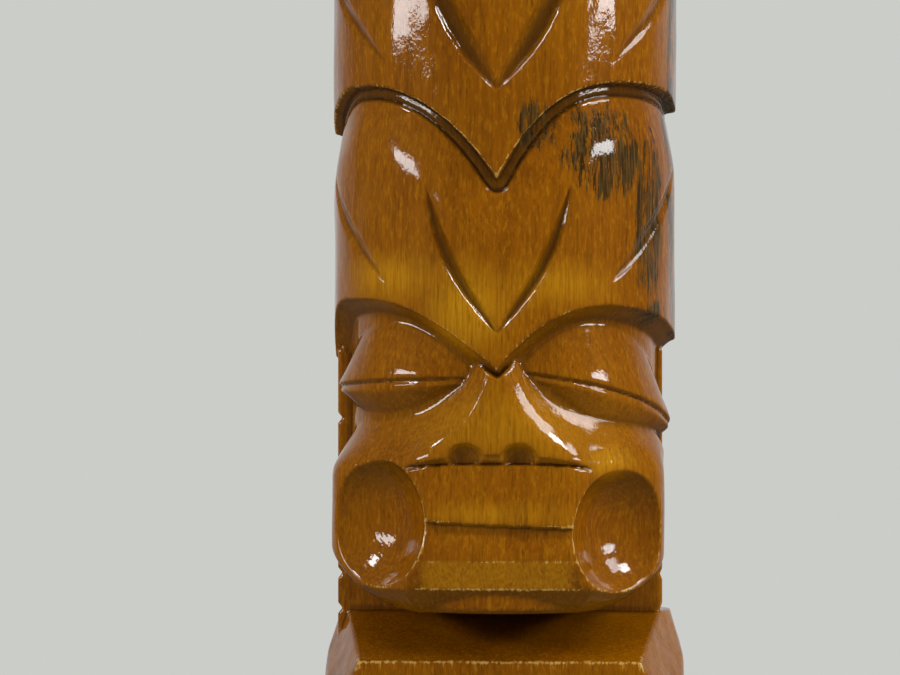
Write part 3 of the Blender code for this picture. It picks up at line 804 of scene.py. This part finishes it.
def paint_shade(tree, paint, bend, pale):
    """Painted shade: darker on what faces down, in gouge cuts and channels, in hollows, and darkest in
    creases.
    """
    # Painted shade on what faces down, less where the wood is pale.
    facing = add(tree, "SeparateXYZ", {0: add(tree, "NewGeometry").outputs["Normal"]}).outputs[2]
    under = calculate(tree, "SUBTRACT", remap(tree, facing, -0.2, -0.65, 0.0, 0.6), pale)
    paint = blend(tree, calculate(tree, "MAXIMUM", under), paint, colour(74, 50, 3))
    # Painted shade in gouge strokes and in the channels under the bands.
    cut_shade = remap(tree, attribute(tree, "cut_shade"), 0.2, 3.0, 0.0, 0.55)
    paint = blend(tree, cut_shade, paint, colour(66, 46, 5))
    # Painted shade in broad hollows.
    hollow = remap(tree, attribute(tree, "wide_bend"), -0.03, -0.26, 0.0, 0.4, smooth=True)
    paint = blend(tree, hollow, paint, colour(70, 38, 2))
    # Painted shade, darkest, in creases.
    crease = remap(tree, bend, -0.4, -1.5, 0.0, 0.7, smooth=True)
    return blend(tree, crease, paint, colour(34, 17, 2))


def edge_wear_and_highlight(tree, bend, mottle):
    """How much straw colour shows: wear through the varnish on sharp, often handled edges, and painted
    highlight lines where the layer marks them.
    """
    wear_and_highlight = calculate(tree, "ADD", bend, calculate(tree, "MULTIPLY", attribute(tree, "rubbed_and_highlit"), 0.7))
    wear_and_highlight = calculate(tree, "ADD", wear_and_highlight, remap(tree, mottle, 0.3, 0.7, -0.7, 0.7))
    return remap(tree, wear_and_highlight, 1.3, 1.9, 0.0, 0.8, smooth=True)


def old_stain(tree, place, paint, fibres):
    """Dark weathered wood in ragged upright smears."""
    ragged = noise(tree, place, (120, 120, 50), detail=4.0, roughness=0.6)
    ragged = remap(tree, ragged, 0.35, 0.65, 0.72, 1.15)
    stained = calculate(tree, "MULTIPLY", attribute(tree, "stain"), ragged)
    smear = noise(tree, place, (760, 760, 95), detail=6.0, roughness=0.8)
    smear = remap(tree, calculate(tree, "ADD", smear, stained), 0.9, 0.98, 0.0, 0.92)
    weathered = blend(tree, remap(tree, fibres, 0.42, 0.62), colour(36, 27, 8), colour(92, 72, 34))
    return blend(tree, smear, paint, weathered)


def varnish(tree, place, shader):
    """A glossy coat brushed on a little unevenly. The wood under it hardly shines."""
    peel = noise(tree, place, (150, 150, 90), detail=3.0, roughness=0.5)
    fine_peel = noise(tree, place, (1000, 1000, 700), detail=2.0, roughness=0.5)
    peel = calculate(tree, "ADD", peel, calculate(tree, "MULTIPLY", fine_peel, 0.22))
    skin = add(tree, "Bump", {"Height": peel, "Strength": 0.4, "Distance": 0.0004}).outputs[0]
    tree.links.new(skin, shader.inputs["Coat Normal"])
    shader.inputs["Specular IOR Level"].default_value = 0.01
    shader.inputs["Coat Weight"].default_value = 0.8
    shader.inputs["Coat Roughness"].default_value = 0.045
    shader.inputs["Coat IOR"].default_value = 1.48


def varnished_wood():
    """The carved log: painted shade in the cuts and hollows, straw colour on edges for wear and painted
    highlight, stained on one side.
    """
    material, shader = new_material("varnished_wood", colour(140, 84, 4), 0.42)
    tree = material.node_tree
    place = add(tree, "TexCoord").outputs["Object"]
    rings, streaks, pores = wood_grain(tree, place, (0.012, 0.02, 0.0), 0.0035)
    fibres = noise(tree, place, (1300, 1300, 55), detail=3.0, roughness=0.6)
    mottle = noise(tree, place, (800, 800, 230), detail=4.0, roughness=0.65)
    bend = attribute(tree, "bend")
    pale = attribute(tree, "pale")

    paint = log_colour(tree, place, rings, streaks, fibres, mottle)
    thin = calculate(tree, "MULTIPLY", pale, remap(tree, fibres, 0.38, 0.62, 1.0, 0.5))
    paint = blend(tree, thin, paint, colour(206, 144, 16))
    paint = paint_shade(tree, paint, bend, pale)
    # Straw colour on edges: partly wear, partly painted highlight.
    wear_and_highlight = edge_wear_and_highlight(tree, bend, mottle)
    paint = blend(tree, wear_and_highlight, paint, colour(214, 172, 88))
    paint = old_stain(tree, place, paint, fibres)
    paint = blend(tree, calculate(tree, "MULTIPLY", pores, 0.4), paint, colour(60, 30, 2))
    tree.links.new(paint, shader.inputs["Base Color"])

    rough = calculate(tree, "MULTIPLY", wear_and_highlight, 0.2)
    rough = calculate(tree, "ADD", rough, remap(tree, mottle, 0.3, 0.7, 0.34, 0.5))
    tree.links.new(rough, shader.inputs["Roughness"])
    grain = calculate(tree, "MULTIPLY", pores, -0.5)
    grain = calculate(tree, "ADD", grain, calculate(tree, "MULTIPLY", streaks, 0.6))
    relief = add(tree, "Bump", {"Height": grain, "Strength": 0.35, "Distance": 0.0004}).outputs[0]
    tree.links.new(relief, shader.inputs["Normal"])
    varnish(tree, place, shader)
    return material


def plinth_wood():
    """A plainer varnished board whose grain runs across the front."""
    material, shader = new_material("plinth_wood", colour(96, 56, 14), 0.45)
    tree = material.node_tree
    place = add(tree, "TexCoord").outputs["Object"]
    turned = add(tree, "Mapping", {"Vector": place, "Rotation": (0.0, np.pi / 2, 0.0)}).outputs[0]
    rings, streaks, pores = wood_grain(tree, turned, (-0.09, 0.03, 0.0), 0.004)
    paint = blend(tree, remap(tree, rings, 0.35, 0.65), colour(78, 42, 8), colour(112, 66, 14))
    paint = blend(tree, remap(tree, streaks, 0.35, 0.7, 0.0, 0.6), paint, colour(60, 32, 6))
    paint = blend(tree, calculate(tree, "MULTIPLY", pores, 0.6), paint, colour(40, 20, 4))
    tree.links.new(paint, shader.inputs["Base Color"])
    relief = add(tree, "Bump", {"Height": streaks, "Strength": 0.3, "Distance": 0.0004}).outputs[0]
    tree.links.new(relief, shader.inputs["Normal"])
    shader.inputs["Coat Weight"].default_value = 0.8
    shader.inputs["Coat Roughness"].default_value = 0.16
    return material


def dowel_wood():
    material, shader = new_material("dowel_wood", colour(196, 158, 104), 0.6)
    tree = material.node_tree
    place = add(tree, "TexCoord").outputs["Object"]
    _, streaks, pores = wood_grain(tree, place, (0.02, 0.0, 0.0), 0.002)
    paint = blend(tree, remap(tree, streaks, 0.3, 0.7), colour(206, 170, 118), colour(170, 128, 76))
    paint = blend(tree, calculate(tree, "MULTIPLY", pores, 0.5), paint, colour(120, 82, 44))
    tree.links.new(paint, shader.inputs["Base Color"])
    return material


def zinc_steel():
    material, shader = new_material("zinc_steel", colour(176, 178, 180), 0.35, 1.0)
    tree = material.node_tree
    place = add(tree, "TexCoord").outputs["Object"]
    spangle = add(tree, "TexVoronoi", {"Vector": place, "Scale": 900.0}).outputs["Color"]
    tree.links.new(blend(tree, 0.15, colour(176, 178, 180), spangle), shader.inputs["Base Color"])
    scuffs = noise(tree, place, (900, 900, 900), detail=3.0)
    tree.links.new(remap(tree, scuffs, 0.3, 0.7, 0.25, 0.5), shader.inputs["Roughness"])
    return material


def felt():
    material, shader = new_material("felt", colour(52, 40, 30), 0.95)
    tree = material.node_tree
    place = add(tree, "TexCoord").outputs["Object"]
    fibres = noise(tree, place, (2600, 2600, 2600), detail=4.0, roughness=0.7)
    tree.links.new(blend(tree, fibres, colour(38, 29, 22), colour(74, 58, 44)), shader.inputs["Base Color"])
    relief = add(tree, "Bump", {"Height": fibres, "Strength": 0.6, "Distance": 0.0005}).outputs[0]
    tree.links.new(relief, shader.inputs["Normal"])
    shader.inputs["Sheen Weight"].default_value = 0.4
    return material


# Assembly --------------------------------------------------------------------


def add_layer(mesh, label, values):
    """Stores a number for each vertex, which the material reads by its label."""
    layer = mesh.attributes.new(label, "FLOAT", "POINT")
    layer.data.foreach_set("value", np.clip(values, -4, 4).astype(np.float32))


# Patches on the log: strength at the middle, angle and height of the middle, and reach both ways.
STAINED = (
    (1.0, 38, 436, 34, 40),
    (1.0, 58, 412, 18, 70),
    (0.8, 12, 446, 20, 26),
    (1.5, 84, 450, 22, 150),
    (0.8, 62, 374, 30, 14),
)
PALE = (
    (0.9, -10, 376, 22, 26),
    (0.7, -38, 388, 34, 14),
    (0.6, 20, 385, 30, 14),
    (0.5, 4, 332, 60, 22),
    (0.8, 38, 318, 16, 10),
    (0.5, 0, 298, 34, 8),
)
RUBBED_BOTH_SIDES = (
    (1.0, 30, 288, 34, 40),
    (0.5, 12, 380, 22, 40),
    (0.4, 8, 470, 20, 30),
)


def strongest(angle, z, patches):
    """The strongest of several oval patches at each point. A patch falls to 0 at its edge."""
    strength = np.zeros_like(z)
    for peak, middle_angle, middle_z, wide, high in patches:
        away = np.hypot((angle - middle_angle) / wide, (z - middle_z) / high)
        strength = np.maximum(strength, peak * smooth_step(1.0, 0.0, away))
    return strength


def paint_layers(mesh, vertices):
    """Where old stain shows through the varnish, where edges show wear and painted highlight lines, where
    it is thin, and where the cuts get painted shade.
    """
    x, y, z = vertices.T
    angle = np.degrees(np.arctan2(x, -y))
    rubbed_and_highlit = strongest(np.abs(angle), z, RUBBED_BOTH_SIDES)
    yoke_edge = (np.abs(z - SHOULDER_Z - 1) < 5) & (y < -38)
    rubbed_and_highlit = np.maximum(rubbed_and_highlit, 1.2 * yoke_edge)
    on_chin = smooth_step(36, 30, np.abs(x)) * (y < 0)
    # Painted highlight lines along the bevel's two edges, kept in the same layer as the wear patches.
    for edge, strength, reach in ((BEVEL_LOW, 2.3, 0.9), (BEVEL_HIGH - 0.2, 1.9, 0.7)):
        rubbed_and_highlit = np.maximum(rubbed_and_highlit, strength * on_chin * np.exp(-(((z - edge) / reach) ** 2)))
    # The bevel under the mouth is painted paler, which also takes off the painted shade on its downward
    # face.
    bevel = smooth_step(31, 25, np.abs(x)) * (y < 0)
    bevel = bevel * smooth_step(BEVEL_HIGH + 0.6, BEVEL_HIGH - 0.6, z)
    bevel = bevel * smooth_step(BEVEL_LOW - 0.6, BEVEL_LOW + 0.6, z)
    add_layer(mesh, "stain", 0.52 * np.clip(1.4 * strongest(angle, z, STAINED), 0, 1))
    add_layer(mesh, "pale", np.maximum(strongest(angle, z, PALE), 0.5 * bevel))
    add_layer(mesh, "rubbed_and_highlit", rubbed_and_highlit)
    # Painted shade in the gouge strokes and band channels.
    add_layer(mesh, "cut_shade", read_table(CUT_SHADE, angle, z))


FINISHES = {
    "plinth": plinth_wood(),
    "dowel": dowel_wood(),
    "lag_screw": zinc_steel(),
    "felt_pad": felt(),
}
FINISHES["washer"] = FINISHES["lag_screw"]
for node_name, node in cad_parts.items():
    for prefix, finish in FINISHES.items():
        if node_name.startswith(prefix):
            node.data.materials.clear()
            node.data.materials.append(finish)

carved = carve_figure()
carved.data.materials.append(varnished_wood())
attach(carved, "root")
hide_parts("carved_figure")


# Studio ----------------------------------------------------------------------

CAMERA_DISTANCE = 1.2
CAMERA_TURN = np.radians(2.5)
CAMERA_Z = 0.365
VIEW_WIDTH = 0.36
VIEW_SHIFT = -0.0606


def floor():
    """A pale round table top. The varnish doesn't mirror it."""
    mesh = bpy.data.meshes.new("table")
    edges = 96
    ring = [(1.9 * np.cos(turn), 1.9 * np.sin(turn), 0) for turn in np.arange(edges) * 2 * np.pi / edges]
    mesh.from_pydata(ring, [], [tuple(range(edges))])
    material, _ = new_material("table_paper", colour(226, 228, 225), 0.8)
    mesh.materials.append(material)
    table = bpy.data.objects.new("table", mesh)
    bpy.context.scene.collection.objects.link(table)
    table.visible_glossy = False


def softbox(name, turn, lift, reach, size, power, mirrored=True, lights=True):
    """A rectangular lamp that looks at the head from `turn` round the figure and `lift` above it.

    The varnish shows a `mirrored` lamp. One that doesn't light shows only in the varnish.
    """
    target = Vector((0, 0, 0.42))
    turn, lift = np.radians(turn), np.radians(lift)
    away = Vector((np.sin(turn) * np.cos(lift), -np.cos(turn) * np.cos(lift), np.sin(lift)))
    lamp = bpy.data.lights.new(name, "AREA")
    lamp.shape = "RECTANGLE"
    lamp.size, lamp.size_y = size
    lamp.energy = power
    holder = bpy.data.objects.new(name, lamp)
    holder.location = target + away * reach
    holder.rotation_euler = away.to_track_quat("Z", "Y").to_euler()
    holder.visible_glossy = mirrored
    holder.visible_diffuse = lights
    bpy.context.scene.collection.objects.link(holder)


def camera():
    data = bpy.data.cameras.new("camera")
    data.sensor_width = 36
    data.lens = data.sensor_width * CAMERA_DISTANCE / VIEW_WIDTH
    data.shift_x = VIEW_SHIFT
    holder = bpy.data.objects.new("camera", data)
    side = (np.sin(CAMERA_TURN), -np.cos(CAMERA_TURN))
    holder.location = (side[0] * CAMERA_DISTANCE, side[1] * CAMERA_DISTANCE, CAMERA_Z)
    holder.rotation_euler = (np.pi / 2, 0, CAMERA_TURN)
    bpy.context.scene.collection.objects.link(holder)
    bpy.context.scene.camera = holder


def room():
    """A pale room to look at. Its own light comes mostly from the paper behind the figure."""
    world = bpy.data.worlds.new("room")
    world.use_nodes = True
    tree = world.node_tree
    seen = tree.nodes["Background"]
    seen.inputs["Color"].default_value = (0.60, 0.61, 0.58, 1.0)
    toward = add(tree, "SeparateXYZ", {0: add(tree, "TexCoord").outputs["Generated"]})
    behind = remap(tree, toward.outputs[1], 0.35, 0.9, 0.0, 0.55)
    above = remap(tree, toward.outputs[2], -0.3, 0.0)
    given = add(tree, "Background", {"Color": (0.95, 0.98, 1.0, 1.0)})
    strength = calculate(tree, "ADD", calculate(tree, "MULTIPLY", behind, above), 0.09)
    tree.links.new(strength, given.inputs["Strength"])
    by_camera = add(tree, "LightPath").outputs["Is Camera Ray"]
    either = add(tree, "MixShader", {0: by_camera, 1: given.outputs[0], 2: seen.outputs[0]})
    tree.links.new(either.outputs[0], tree.nodes["World Output"].inputs["Surface"])
    bpy.context.scene.world = world


def studio():
    floor()
    softbox("softbox_left", -61, 12.6, 1.2, (0.66, 0.19), 6)
    softbox("softbox_right", 69, 12.6, 1.2, (0.46, 0.19), 5)
    softbox("window_right", 76, 34, 1.3, (0.44, 0.38), 6)
    softbox("glint_left", -62, 44, 1.4, (0.30, 0.30), 9, lights=False)
    softbox("glint_right", 58, 44, 1.4, (0.30, 0.30), 9, lights=False)
    softbox("ceiling", 0, 56, 1.7, (1.8, 1.2), 11.5, mirrored=False)
    room()
    bpy.context.scene.view_settings.view_transform = "Standard"


camera()
studio()
